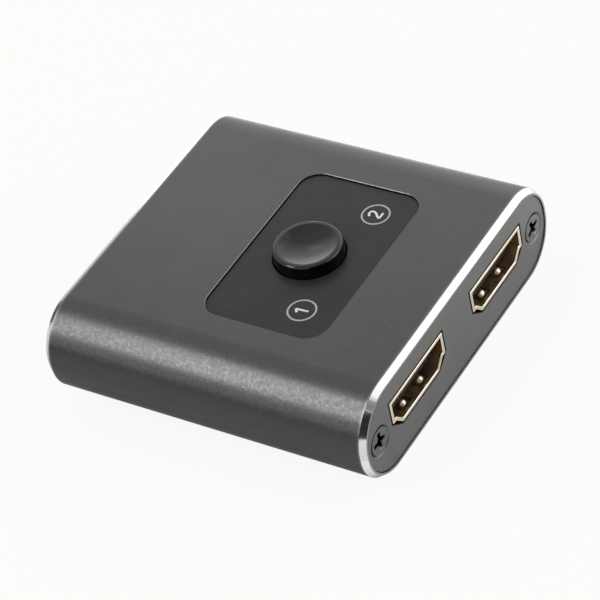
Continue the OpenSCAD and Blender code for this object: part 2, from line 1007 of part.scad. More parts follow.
module signal_chip() {
    mark_place = chip_mark - chip_size / 2;
    color([0.12, 0.12, 0.13])
        translate([0, chip_y, board_top])
            difference() {
                translate([-chip_size / 2, -chip_size / 2, 0])
                    cube([chip_size, chip_size, chip_height]);
                translate([mark_place, mark_place, chip_height - chip_mark_depth])
                    cylinder(d = chip_mark, h = past);
            }
}

module indicator_lamps() {
    color([0.9, 0.9, 0.8])
        for (side = sides)
            translate([side * light_spacing / 2, light_y, board_top]) {
                translate([-lamp_size[0] / 2, -lamp_size[1] / 2, 0])
                    cube(lamp_size);
                translate([-lamp_lens[0] / 2, -lamp_lens[1] / 2, lamp_size[2]])
                    cube(lamp_lens);
            }
}

// Chip part lying along Y, with an end cap at each end
module chip_part(height) {
    translate([-chip_part_width / 2, -chip_part_length / 2, 0])
        cube([chip_part_width, chip_part_length, height]);
    cap_width = chip_part_width + 2 * end_cap_step;
    for (end = sides)
        translate([-cap_width / 2, end * (chip_part_length - end_cap_length) / 2 - end_cap_length / 2, 0])
            cube([cap_width, end_cap_length, height + end_cap_step]);
}

// Columns of chip parts on both sides of the signal chip
module chip_part_columns(distance) {
    for (side = sides, i = [0 : chip_part_count - 1])
        translate([
            side * distance,
            chip_y + (i - (chip_part_count - 1) / 2) * chip_part_pitch,
            board_top
        ])
            children();
}

module capacitors() {
    color([0.62, 0.5, 0.36])
        chip_part_columns(capacitor_column)
            chip_part(capacitor_height);
}

module resistors() {
    color([0.15, 0.15, 0.16])
        chip_part_columns(resistor_column)
            chip_part(resistor_height);
}

case_sleeve();
front_end_plate();
rear_end_plate();
front_screws();
rear_screws();
top_panel();
panel_tape();
button_cap();
switch_base();
switch_cover();
switch_plunger();
switch_spring();
switch_pins();
input_1_shell();
input_1_insulator();
input_1_contacts();
input_2_shell();
input_2_insulator();
input_2_contacts();
output_shell();
output_insulator();
output_contacts();
circuit_board();
signal_chip();
indicator_lamps();
capacitors();
resistors();
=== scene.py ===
import math
from typing import NamedTuple

import bmesh
import bpy
from bpy.props import FloatProperty, FloatVectorProperty, IntProperty, PointerProperty
from mathutils import Matrix, Vector


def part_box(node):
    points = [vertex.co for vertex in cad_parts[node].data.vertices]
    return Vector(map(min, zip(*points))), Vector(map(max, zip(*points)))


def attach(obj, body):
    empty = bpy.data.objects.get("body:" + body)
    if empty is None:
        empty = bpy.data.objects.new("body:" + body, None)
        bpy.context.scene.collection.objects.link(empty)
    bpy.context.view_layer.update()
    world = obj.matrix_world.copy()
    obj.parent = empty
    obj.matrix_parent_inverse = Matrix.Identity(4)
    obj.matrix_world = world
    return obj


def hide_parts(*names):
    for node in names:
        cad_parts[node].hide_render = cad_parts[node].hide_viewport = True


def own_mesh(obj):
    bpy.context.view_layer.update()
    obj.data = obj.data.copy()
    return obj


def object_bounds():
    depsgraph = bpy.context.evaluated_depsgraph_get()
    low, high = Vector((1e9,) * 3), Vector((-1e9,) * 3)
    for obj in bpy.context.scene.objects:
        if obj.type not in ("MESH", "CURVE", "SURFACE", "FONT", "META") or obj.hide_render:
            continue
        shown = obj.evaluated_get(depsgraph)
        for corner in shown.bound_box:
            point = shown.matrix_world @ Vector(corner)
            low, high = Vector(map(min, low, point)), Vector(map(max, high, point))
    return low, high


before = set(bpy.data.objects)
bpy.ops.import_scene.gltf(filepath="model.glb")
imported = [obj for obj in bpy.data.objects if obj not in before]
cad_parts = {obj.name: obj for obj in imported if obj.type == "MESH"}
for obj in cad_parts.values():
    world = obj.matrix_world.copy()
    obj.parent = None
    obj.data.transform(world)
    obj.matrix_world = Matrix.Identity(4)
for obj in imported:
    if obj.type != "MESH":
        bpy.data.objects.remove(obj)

bl_info = {
    "name": "Video Switch Box",
    "version": (1, 0, 0),
    "blender": (4, 5, 0),
    "location": "View3D > Sidebar > Switch Box",
    "description": "Finishes the solids of a two-way video switch box and sets its stage",
    "category": "Object",
}

MM = 0.001
CAD_LOW, CAD_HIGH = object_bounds()
SLEEVE_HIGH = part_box("case_sleeve")[1]
PLATE_FACE = -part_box("front_end_plate")[0].y
PANEL_LOW, PANEL_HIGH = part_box("top_panel")
BUTTON_LOW, BUTTON_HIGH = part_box("button_cap")
LAMP_LOW, LAMP_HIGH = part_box("indicator_lamps")

# Noise seldom leaves this span, so colour and gloss run from one end of it to the other.
NOISE_LOW = 0.3
NOISE_HIGH = 0.7
PLASTIC_IOR = 1.5
PIT_SMOOTHNESS = 0.4

# The Mix node has inputs and outputs for each kind of value, and these are its colours.
MIX_COLOUR_A = 6
MIX_COLOUR_B = 7
MIX_COLOUR_OUT = 2

# Half of a lamp's width, and how far the cross recess reaches from the middle of a screw's head.
LAMP_HALF = 1.0 * MM
RECESS_REACH = 1.6 * MM

# Facets of the round pieces.
MERGE_DISTANCE = 1e-7
STROKE_ROUNDING = 5
STROKE_STEPS = 12
RING_STEPS = 96
BEND_SEGMENTS = 4
ROUND_SEGMENTS = 3
WIRE_SIDES = 12
STEPS_PER_CURL = 24

# Strokes of the digits, in millimetres from the middle of the ring.
ONE_HOOK = ((-0.62, 0.54), (-0.28, 0.72), (0.0, 1.0))
ONE_STEM = ((0.0, 1.0), (0.09, -1.01))
TWO_BOW = ((-0.6, 0.7), (-0.16, 1.02), (0.44, 0.82), (0.36, 0.26), (-0.3, -0.45), (-0.58, -0.86))
TWO_FOOT = ((-0.6, -0.88), (0.66, -0.88))

# The camera's place and its own axes.
CAMERA_PLACE = Vector((-0.229595, -0.189716, 0.269359))
CAMERA_RIGHT = Vector((0.50056, -0.84786, -0.17482))
CAMERA_UP = Vector((0.64606, 0.23145, 0.72735))
CAMERA_BACK = Vector((-0.57623, -0.47703, 0.66362))
SENSOR_WIDTH = 36.0

FLOOR_SIZE = 3.0
FLOOR_GAP = 0.02 * MM
FLOOR_WHITE = (0.988, 0.988, 0.97)
LAMP_DISTANCE = 0.9
HALF_METRE = 0.5


class Lamp(NamedTuple):
    """A soft rectangular light: the way to it from the box, its size in metres and its roll in degrees."""

    name: str
    way: tuple
    size: tuple
    roll: float = 0.0


class Card(NamedTuple):
    """A card seen only in reflections, in metres and degrees.

    glow lists a strength for each height above the floor. spot is a soft patch of extra glow: its place
    along the card, its height, its radius and its strength.
    """

    name: str
    foot: tuple
    turn: float
    size: tuple
    glow: tuple
    lean: float = 0.0
    spot: tuple = None


FRONT_LAMP = Lamp("front_light", way=(0.576, -0.466, 0.671), size=(0.9, 0.9))
SIDE_LAMP = Lamp("side_light", way=(-0.5, 0.47, 0.73), size=(0.25, 0.62), roll=30.0)
CARDS = (
    Card(
        "front_card",
        foot=(-0.096, -0.11, 0.0),
        turn=50.0,
        size=(0.13, 0.108),
        glow=((0.0, 0.014), (0.1, 0.014)),
    ),
    Card(
        "side_card",
        foot=(-0.032, 0.04, 0.0),
        turn=0.0,
        lean=71.0,
        size=(0.2, 0.056),
        glow=((0.0, 0.62), (0.018, 0.25)),
    ),
    Card(
        "pale_card",
        foot=(0.109, 0.051, 0.0),
        turn=25.0,
        size=(0.3, 0.2),
        glow=((0.05, 1.65), (0.075, 1.28), (0.19, 0.66)),
        spot=(0.043, 0.113, 0.03, 0.42),
    ),
    Card(
        "right_card",
        foot=(0.12, -0.03, 0.0),
        turn=0.0,
        size=(0.2, 0.2),
        glow=((0.06, 1.7), (0.2, 0.78)),
    ),
    Card(
        "grey_card",
        foot=(-0.053, -0.173, 0.0),
        turn=79.0,
        size=(0.1, 0.2),
        glow=((0.0, 0.2), (0.2, 0.2)),
    ),
    Card(
        "rear_card",
        foot=(-0.0045, 0.0957, 0.0),
        turn=75.5,
        size=(0.066, 0.009),
        glow=((0.0, 0.03), (0.009, 0.03)),
    ),
    Card(
        "socket_card",
        foot=(0.075, -0.115, 0.0),
        turn=60.0,
        size=(0.16, 0.07),
        glow=((0.0, 2.8), (0.07, 2.8)),
    ),
    Card(
        "far_card",
        foot=(0.03, 0.053, 0.0),
        turn=180.0,
        lean=60.0,
        size=(0.193, 0.08),
        glow=((0.0, 2.6), (0.03, 1.7)),
    ),
    Card(
        "lip_card",
        foot=(0.098, -0.116, 0.07),
        turn=131.0,
        size=(0.15, 0.048),
        glow=((0.08, 2.6), (0.13, 2.6)),
    ),
)


def length(name, description, default):
    """A size in metres that a user may change."""
    return FloatProperty(name=name, description=description, default=default, unit="LENGTH", precision=5)


def share(name, description, default):
    """A number from 0 to 1 that a user may change."""
    return FloatProperty(
        name=name, description=description, default=default, min=0.0, max=1.0, subtype="FACTOR"
    )


def colour(name, description, default):
    """A colour that a user may change."""
    return FloatVectorProperty(
        name=name, description=description, default=default, size=3, min=0.0, max=1.0, subtype="COLOR"
    )


def power(name, description, default):
    """A light's power in watts that a user may change."""
    return FloatProperty(name=name, description=description, default=default, min=0.0, unit="POWER")


def strength(name, description, default):
    """A brightness that a user may change, where 1 is white."""
    return FloatProperty(name=name, description=description, default=default, min=0.0)


class SwitchBoxSizes(bpy.types.PropertyGroup):
    """Sizes of the pieces that are added to the solids, and of the finishes' own places on them."""

    chamfer: length("Chamfer length", "Bright-cut chamfer at each end of the sleeve", 0.85 * MM)
    rim_chamfer: length("Pocket chamfer", "Bright-cut chamfer around the panel's pocket", 0.08 * MM)
    ring_radius: length("Ring radius", "Outer radius of the printed rings", 2.16 * MM)
    ring_line: length("Ring line", "Width of the printed ring's line", 0.28 * MM)
    digit_line: length("Digit line", "Width of the printed digits' strokes", 0.34 * MM)
    ink: length("Ink thickness", "Thickness of the printed marks", 0.02 * MM)
    rim_width: length("Rim width", "Width of the polished rim at a socket's mouth", 0.56 * MM)
    rim_depth: length("Rim depth", "Depth of that rim along the socket", 0.3 * MM)
    rim_proud: length("Rim height", "How far the rim stands in front of the end plate", 0.06 * MM)
    rim_round: length("Rim rounding", "Rounding of the rim's front edges", 0.14 * MM)
    dimple_spread: length("Dimple spread", "Distance of the dimples from a socket's middle", 2.45 * MM)
    dimple_depth: length("Dimple depth", "Distance of the dimples from a socket's mouth", 1.7 * MM)
    dimple_radius: length("Dimple radius", "Radius of a polished dimple", 0.62 * MM)
    opening_width: length("Opening width", "Width of a socket's opening", 14.0 * MM)
    opening_height: length("Opening height", "Height of a socket's opening", 4.55 * MM)
    side_height: length("Side height", "Height of the opening's upright sides", 3.0 * MM)
    step_width: length("Step width", "Level step under each upright side", 0.6 * MM)
    toe_inset: length("Toe inset", "How much narrower the opening's floor is at each side", 2.05 * MM)
    shell_wall: length("Shell sheet", "Sheet thickness of a socket's shell", 0.3 * MM)
    cutout_gap: length("Opening gap", "Gap between a shell and its opening in the end plate", 0.35 * MM)
    # Width of the painted shade that stands for the shadowed gap round each opening.
    gap_shade_width: length("Opening edge", "Dark edge round an opening in the end plate", 0.1 * MM)
    bend: length("Bend radius", "Rounding of the corners of a socket's rim", 0.22 * MM)
    spring_wire: length("Spring wire", "Wire of the return spring under the button", 0.24 * MM)
    spring_curls: IntProperty(
        name="Spring curls", description="Curls of the return spring", default=6, min=1
    )


class SwitchBoxColours(bpy.types.PropertyGroup):
    """Colours and gloss of the finishes."""

    sleeve: colour("Sleeve", "Anodised metal of the sleeve", (0.104, 0.108, 0.107))
    cut: colour("Cut metal", "Bright-cut chamfers", (0.89, 0.89, 0.88))
    plate: colour("End plates", "Anodised metal of the end plates", (0.195, 0.195, 0.194))
    screw: colour("Screws", "Plated steel of the screws", (0.17, 0.172, 0.168))
    panel: colour("Panel", "Dark sheet of the top panel", (0.02, 0.02, 0.02))
    ring: colour("Rings", "Ink of the printed rings", (0.37, 0.37, 0.37))
    digit: colour("Digits", "Ink of the printed digits", (0.66, 0.66, 0.66))
    button: colour("Button", "Black moulding of the button", (0.0012, 0.0012, 0.0012))
    shell: colour("Socket shells", "Gold plating inside the shells", (0.8, 0.58, 0.34))
    rim: colour("Socket rims", "Pale gold of the polished rims", (0.86, 0.74, 0.6))
    insulator: colour("Insulators", "Black moulding in the sockets and the switch", (0.005, 0.005, 0.005))
    contact: colour("Contacts", "Gold plating of the contacts", (0.8, 0.56, 0.2))
    board: colour("Board", "Green lacquer of the circuit board", (0.012, 0.1, 0.035))
    floor: colour("Floor", "Pale floor under the box", (0.86, 0.86, 0.85))
    sleeve_roughness: share("Sleeve roughness", "Roughness of the blasted metal", 0.3)
    cut_roughness: share("Cut roughness", "Roughness of the bright-cut chamfers", 0.14)


class SwitchBoxStage(bpy.types.PropertyGroup):
    """Camera and light."""

    lens: FloatProperty(
        name="Lens", description="Focal length of the camera", default=166.88, unit="CAMERA"
    )
    horizon: strength("Horizon", "Strength of the white surroundings at eye level", 1.08)
    zenith: strength("Zenith", "Strength of the white surroundings overhead", 0.64)
    front: power("Front light", "Power of the soft light at the front right", 0.8)
    side: power("Side light", "Power of the soft light at the rear left", 2.05)
    clear: share("Floor clearness", "How much of the floor's white the camera sees, not its shade", 0.92)
    mirrored: share("Mirrored floor", "How much of that white the reflections show", 0.25)


class Finish:
    """A material with the nodes that make its colour, gloss and grain."""

    def __init__(self, name, metallic=0.0, roughness=0.5):
        self.material = bpy.data.materials.new(name)
        self.material.use_nodes = True
        self.tree = self.material.node_tree
        self.shader = self.tree.nodes["Principled BSDF"]
        self.shader.inputs["Metallic"].default_value = metallic
        self.shader.inputs["Roughness"].default_value = roughness
        self.shader.inputs["IOR"].default_value = PLASTIC_IOR
        self.coordinates = self.add("ShaderNodeTexCoord")
        self.place = self.coordinates.outputs["Object"]
        self.x, self.y, self.z = self.split(self.place)

    def add(self, kind, **settings):
        """Adds a node of a kind."""
        node = self.tree.nodes.new(kind)
        for name, value in settings.items():
            setattr(node, name, value)
        return node

    def put(self, value, socket):
        """Sets a plain value on a socket, or links an output to it."""
        if isinstance(value, bpy.types.NodeSocket):
            self.tree.links.new(value, socket)
        elif hasattr(value, "__len__") and len(value) == 3 and socket.type == "RGBA":
            socket.default_value = (*value, 1.0)
        else:
            socket.default_value = value

    def split(self, vector):
        """The x, y and z of a vector."""
        node = self.add("ShaderNodeSeparateXYZ")
        self.put(vector, node.inputs[0])
        return node.outputs[0], node.outputs[1], node.outputs[2]

    def facing(self):
        """The x, y and z of the way that the surface faces."""
        return self.split(self.coordinates.outputs["Normal"])

    def math(self, operation, a, b=None):
        """One step of arithmetic on numbers or outputs."""
        node = self.add("ShaderNodeMath", operation=operation)
        for value, socket in zip((a, b), node.inputs):
            if value is not None:
                self.put(value, socket)
        return node.outputs[0]

    def plus(self, a, b):
        return self.math("ADD", a, b)

    def minus(self, a, b):
        return self.math("SUBTRACT", a, b)

    def unsigned(self, a):
        return self.math("ABSOLUTE", a)

    def most(self, a, b):
        return self.math("MAXIMUM", a, b)

    def above(self, value, limit):
        return self.math("GREATER_THAN", value, limit)

    def below(self, value, limit):
        return self.math("LESS_THAN", value, limit)

    def times(self, first, *others):
        """The product of numbers, or the place where all of several masks are 1."""
        result = first
        for value in others:
            result = self.math("MULTIPLY", result, value)
        return result

    def outside(self, mask):
        """The place where a mask is 0."""
        return self.minus(1.0, mask)

    def reach(self, a, b):
        """How far a point is from where a and b are both 0."""
        return self.math("SQRT", self.plus(self.times(a, a), self.times(b, b)))

    def ramp(self, value, low, high, start=0.0, end=1.0):
        """Runs from start to end as value goes from low to high."""
        node = self.add("ShaderNodeMapRange", interpolation_type="SMOOTHSTEP")
        for name, number in (("From Min", low), ("From Max", high), ("To Min", start), ("To Max", end)):
            self.put(number, node.inputs[name])
        self.put(value, node.inputs["Value"])
        return node.outputs["Result"]

    def vary(self, noise, start=0.0, end=1.0):
        """Runs from start to end with a noise."""
        return self.ramp(noise, NOISE_LOW, NOISE_HIGH, start, end)

    def stretched(self, x, y, z):
        """The place on the piece, scaled along each axis."""
        node = self.add("ShaderNodeMapping")
        self.put(self.place, node.inputs["Vector"])
        node.inputs["Scale"].default_value = (x, y, z)
        return node.outputs["Vector"]

    def noise(self, grain, detail=2.0, vector=None):
        """Cloudy noise whose spots are about grain metres across."""
        node = self.add("ShaderNodeTexNoise")
        self.put(vector or self.place, node.inputs["Vector"])
        node.inputs["Scale"].default_value = 1.0 / grain
        node.inputs["Detail"].default_value = detail
        return node.outputs["Fac"]

    def pits(self, width):
        """Overlapping pits of about the given width, as blasting leaves them."""
        node = self.add("ShaderNodeTexVoronoi", feature="SMOOTH_F1")
        self.put(self.place, node.inputs["Vector"])
        node.inputs["Scale"].default_value = 1.0 / width
        node.inputs["Smoothness"].default_value = PIT_SMOOTHNESS
        return node.outputs["Distance"]

    def mix(self, mask, a, b):
        """Colour a where the mask is 0, and colour b where it is 1."""
        node = self.add("ShaderNodeMix", data_type="RGBA")
        self.put(mask, node.inputs["Factor"])
        self.put(a, node.inputs[MIX_COLOUR_A])
        self.put(b, node.inputs[MIX_COLOUR_B])
        return node.outputs[MIX_COLOUR_OUT]

    def tint(self, base, noise, spread):
        """A colour that is lighter and darker by spread where the noise says so."""
        dark = shade(base, 1.0 - spread)
        light = tuple(min(1.0, channel) for channel in shade(base, 1.0 + spread))
        return self.mix(self.vary(noise), dark, light)

    def bump(self, height, depth, normal=None):
        """A relief of the given depth in metres."""
        node = self.add("ShaderNodeBump")
        node.inputs["Strength"].default_value = 1.0
        self.put(depth, node.inputs["Distance"])
        self.put(height, node.inputs["Height"])
        if normal is not None:
            self.put(normal, node.inputs["Normal"])
        return node.outputs["Normal"]

    def base(self, value):
        self.put(value, self.shader.inputs["Base Color"])

    def gloss(self, value):
        self.put(value, self.shader.inputs["Roughness"])

    def relief(self, normal):
        self.put(normal, self.shader.inputs["Normal"])

    def glance(self, level):
        """How strongly a moulding or a sheet reflects."""
        self.put(level, self.shader.inputs["Specular IOR Level"])

    def blend_light(self, mask, first, second):
        """Shows one shader where the mask is 0 and another where it is 1."""
        node = self.add("ShaderNodeMixShader")
        self.put(mask, node.inputs[0])
        self.put(first.outputs[0], node.inputs[1])
        self.put(second.outputs[0], node.inputs[2])
        self.put(node.outputs[0], self.tree.nodes["Material Output"].inputs["Surface"])


def shade(base, factor):
    """A colour made darker or lighter by a factor."""
    return tuple(factor * channel for channel in base)


def give(node, finish):
    """Gives a solid its finish."""
    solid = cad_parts[node]
    if not solid.material_slots:
        solid.data.materials.append(finish.material)
    for slot in solid.material_slots:
        slot.material = finish.material


def add_piece(name, mesh, finish, body):
    """Puts a finished mesh into the scene as a piece that moves with a body."""
    mesh.materials.clear()
    mesh.materials.append(finish.material)
    piece = bpy.data.objects.new(name, mesh)
    bpy.context.scene.collection.objects.link(piece)
    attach(piece, body)
    return piece


def stroke_mesh(name, strokes, radius):
    """A round line along each stroke, curved or straight, whose points are in millimetres, as a mesh."""
    curve = bpy.data.curves.new(name, "CURVE")
    curve.dimensions = "3D"
    curve.bevel_depth = radius
    curve.bevel_resolution = STROKE_ROUNDING
    curve.resolution_u = STROKE_STEPS
    curve.use_fill_caps = True
    for points, curved in strokes:
        spline = curve.splines.new("BEZIER" if curved else "POLY")
        stops = spline.bezier_points if curved else spline.points
        stops.add(len(points) - 1)
        for stop, (x, y) in zip(stops, points):
            place = (x * MM, y * MM, 0.0)
            stop.co = place if curved else (*place, 1.0)
            if curved:
                stop.handle_left_type = stop.handle_right_type = "AUTO"
    line = bpy.data.objects.new(name, curve)
    bpy.context.scene.collection.objects.link(line)
    bpy.context.view_layer.update()
    mesh = bpy.data.meshes.new_from_object(line.evaluated_get(bpy.context.evaluated_depsgraph_get()))
    bpy.data.objects.remove(line)
    bpy.data.curves.remove(curve)
    return mesh


def finish_mesh(bm, name):
    """Closes a bmesh into a smooth mesh whose faces point outwards."""
    bmesh.ops.remove_doubles(bm, verts=bm.verts, dist=MERGE_DISTANCE)
    bmesh.ops.recalc_face_normals(bm, faces=bm.faces)
    mesh = bpy.data.meshes.new(name)
    bm.to_mesh(mesh)
    bm.free()
    mesh.shade_smooth()
    return mesh


def soften(bm, edges, radius, segments):
    """Rounds edges to a radius."""
    bmesh.ops.bevel(
        bm,
        geom=edges,
        offset=radius,
        segments=segments,
        profile=0.5,
        affect="EDGES",
        material=-1,
        clamp_overlap=True,
    )


def grown(points, distance):
    """An outline, given anticlockwise, moved outwards by a distance with mitred corners."""
    result = []
    for i, point in enumerate(points):
        before = (point - points[i - 1]).normalized()
        after = (points[(i + 1) % len(points)] - point).normalized()
        first = Vector((before.y, -before.x))
        second = Vector((after.y, -after.x))
        result.append(point + distance * (first + second) / (1.0 + first.dot(second)))
    return result


def outward(f, socket):
    """How far a point lies outside the plain outline of a socket's opening, across the socket."""
    s = sizes()
    low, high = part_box(socket + "_shell")
    up = s.opening_height / 2
    from_middle = f.minus(f.unsigned(f.x), abs(low.x + high.x) / 2)
    beside = f.minus(f.unsigned(from_middle), s.opening_width / 2)
    height = f.minus(f.z, high.z - s.shell_wall - up)
    slope = Vector((s.opening_height - s.side_height, s.toe_inset)).normalized()
    drop = f.minus(up - s.side_height, height)
    under = f.plus(f.times(beside, slope.x), f.times(drop, slope.y))
    level = f.minus(f.unsigned(height), up)
    return f.most(f.most(beside, level), under)


def sizes():
    return bpy.context.scene.switch_box_sizes


def colours():
    return bpy.context.scene.switch_box_colours


def stage():
    return bpy.context.scene.switch_box_stage


class SWITCHBOX_OT_sleeve(bpy.types.Operator):
    """Gives the sleeve its blasted, anodised finish and its bright-cut edges"""

    bl_idname = "switchbox.sleeve"
    bl_label = "Sleeve"

    def execute(self, context):
        c = colours()
        f = Finish("anodised_sleeve", metallic=1.0)
        grazing_tint = (0.55, 0.55, 0.55, 1.0)
        f.shader.inputs["Specular Tint"].default_value = grazing_tint
        facing = f.facing()
        depth = f.unsigned(f.y)
        cut_start = SLEEVE_HIGH.y - sizes().chamfer
        end_cut, rim_cut, pocket, lip = self.places(f, facing, depth, cut_start)
        coarse = f.noise(grain=0.6 * MM)
        metal = self.metal(f, facing, coarse)
        # Lighter metal towards each chamfer: partly wear, partly a painted highlight standing in for the
        # rounding of the edge.
        wear_and_highlight_width = 0.45 * MM
        worn = f.ramp(depth, cut_start - wear_and_highlight_width, cut_start, start=0.0, end=0.5)
        wear_and_highlight_metal = shade(c.sleeve, 3.0)
        lip_metal = shade(c.plate, 2.0)
        pocket_grey = (0.12, 0.12, 0.12)
        dim_cut = shade(c.cut, 0.17)
        for mask, look in ((worn, wear_and_highlight_metal), (lip, lip_metal), (pocket, pocket_grey), (rim_cut, dim_cut)):
            metal = f.mix(mask, metal, look)
        f.base(f.mix(end_cut, metal, c.cut))
        rough_spread = 0.04
        shine_spread = 0.03
        rough = f.vary(coarse, c.sleeve_roughness - rough_spread, c.sleeve_roughness + rough_spread)
        tool_lines = f.noise(grain=0.05 * MM, detail=1.0, vector=f.stretched(0.03, 1.0, 0.03))
        shine = f.vary(tool_lines, c.cut_roughness - shine_spread, c.cut_roughness + shine_spread)
        f.gloss(f.plus(f.times(f.outside(end_cut), rough), f.times(end_cut, shine)))
        # The round sides have less relief than the top, because it would break up their highlight.
        side_relief = 0.12
        top_relief = 0.45
        pit_depth = 0.018 * MM
        swell_depth = 0.015 * MM
        fullness = f.ramp(facing[2], 0.85, 1.0, start=side_relief, end=top_relief)
        blasted = f.times(f.outside(f.most(end_cut, rim_cut)), fullness)
        pitted = f.bump(f.pits(width=0.24 * MM), f.times(blasted, pit_depth))
        f.relief(f.bump(coarse, f.times(blasted, swell_depth), pitted))
        give("case_sleeve", f)
        return {"FINISHED"}

    def places(self, f, facing, depth, cut_start):
        """Masks of the end chamfers, the pocket's chamfer, its walls and the lips round the end plates."""
        hair = 0.005 * MM
        plate_gap = 0.01 * MM
        rim_slack = 0.02 * MM
        rim_reach = 1.0 * MM
        pocket_reach = 0.5 * MM
        least_lean = 0.3
        most_lean = 0.9
        nearly_level = 0.95
        half_level = 0.5
        rim_start = SLEEVE_HIGH.z - sizes().rim_chamfer - rim_slack
        aside = f.unsigned(f.x)
        lean = f.unsigned(facing[1])
        end_cut = f.times(
            f.above(depth, cut_start + hair),
            f.above(lean, least_lean),
            f.below(lean, most_lean),
        )
        rim_cut = f.times(
            f.above(f.z, rim_start),
            f.below(aside, PANEL_HIGH.x + rim_reach),
            f.below(facing[2], nearly_level),
        )
        pocket = f.times(
            f.above(f.z, PANEL_LOW.z),
            f.below(f.z, rim_start),
            f.below(aside, PANEL_HIGH.x + pocket_reach),
            f.above(f.y, PANEL_LOW.y - pocket_reach),
            f.below(f.unsigned(facing[2]), half_level),
        )
        lip = f.times(f.above(depth, PLATE_FACE + plate_gap), f.outside(end_cut))
        return end_cut, rim_cut, pocket, lip

    def metal(self, f, facing, coarse):
        """Anodised metal, cloudy all over, with painted glints speckled on the round sides where the side
        highlight falls.
        """
        base = colours().sleeve
        cloud = f.noise(grain=9.0 * MM)
        mottle = f.plus(f.times(coarse, 0.5), f.times(cloud, 0.5))
        metal = f.tint(base, mottle, spread=0.04)
        dark_glint_grain = shade(base, 0.68)
        pale_glint_grain = shade(base, 1.16)
        # Specks of colour on the band where the side highlight falls stand in for the glints of the blasted
        # grain: partly grain, partly painted highlight.
        upper = f.ramp(facing[2], 0.28, 0.5)
        not_top = f.ramp(facing[2], 0.8, 0.95, start=1.0, end=0.0)
        lit_band = f.times(upper, not_top)
        speck = f.times(lit_band, f.vary(f.noise(grain=0.32 * MM, detail=1.0)))
        metal = f.mix(f.times(lit_band, 0.5), metal, dark_glint_grain)
        return f.mix(speck, metal, pale_glint_grain)


class SWITCHBOX_OT_end_plates(bpy.types.Operator):
    """Gives both end plates their matt grey finish"""

    bl_idname = "switchbox.end_plates"
    bl_label = "End plates"

    def execute(self, context):
        for node, socket in (("front_end_plate", "input_2"), ("rear_end_plate", "output")):
            give(node, self.plate(node, socket))
        return {"FINISHED"}

    def plate(self, node, socket):
        """Matt metal, with painted shade along the edges of the socket openings, where the gaps round the
        shells lie.
        """
        s = sizes()
        painted_gap_shade = (0.03, 0.025, 0.018)
        f = Finish("anodised_" + node, metallic=1.0)
        cloud = f.noise(grain=5.0 * MM, detail=3.0)
        # Painted shade round each opening, for the shadow in the gap round the shell.
        gap_shade_mask = f.below(outward(f, socket), s.shell_wall + s.cutout_gap + s.gap_shade_width)
        f.base(f.mix(gap_shade_mask, f.tint(colours().plate, cloud, spread=0.06), painted_gap_shade))
        f.gloss(f.vary(cloud, start=0.5, end=0.58))
        f.relief(f.bump(f.noise(grain=0.16 * MM, detail=1.0), depth=0.006 * MM))
        return f


class SWITCHBOX_OT_screws(bpy.types.Operator):
    """Gives the four screws their plated steel, with painted shade down in their cross recesses"""

    bl_idname = "switchbox.screws"
    bl_label = "Screws"

    def execute(self, context):
        painted_recess_shade = (0.004, 0.004, 0.004)
        recess_depth = 0.3 * MM
        head_edge = 0.02 * MM
        f = Finish("plated_steel", metallic=1.0)
        cloud = f.noise(grain=0.9 * MM, detail=3.0)
        low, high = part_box("front_screws")
        screw_x = (high.x - low.x) / 2 - (high.z - low.z) / 2
        screw_z = (high.z + low.z) / 2
        aside = f.minus(f.unsigned(f.x), screw_x)
        up = f.minus(f.z, screw_z)
        near = f.below(f.reach(aside, up), RECESS_REACH)
        head = -low.y
        # Painted shade down in the cross recess, darker with depth.
        shaded_depth = f.ramp(f.unsigned(f.y), head - recess_depth, head - head_edge, start=1.0, end=0.0)
        plating = f.tint(colours().screw, cloud, spread=0.15)
        f.base(f.mix(f.times(near, shaded_depth), plating, painted_recess_shade))
        f.gloss(f.vary(cloud, start=0.34, end=0.46))
        f.relief(f.bump(f.noise(grain=0.1 * MM), depth=0.003 * MM))
        give("front_screws", f)
        give("rear_screws", f)
        return {"FINISHED"}


class SWITCHBOX_OT_panel(bpy.types.Operator):
    """Gives the top panel its smooth dark face, and the tape under it its film"""

    bl_idname = "switchbox.panel"
    bl_label = "Top panel"

    def execute(self, context):
        f = Finish("dark_panel")
        f.glance(0.25)
        f.base(f.tint(colours().panel, f.noise(grain=4.0 * MM, detail=3.0), spread=0.1))
        f.gloss(f.vary(f.noise(grain=0.6 * MM, detail=4.0), start=0.33, end=0.39))
        f.relief(f.bump(f.noise(grain=0.3 * MM), depth=0.0008 * MM))
        give("top_panel", f)
        film = (0.7, 0.68, 0.6)
        t = Finish("tape_film", roughness=0.6)
        t.base(t.tint(film, t.noise(grain=1.5 * MM, detail=3.0), spread=0.08))
        t.relief(t.bump(t.noise(grain=0.2 * MM), depth=0.004 * MM))
        give("panel_tape", t)
        return {"FINISHED"}


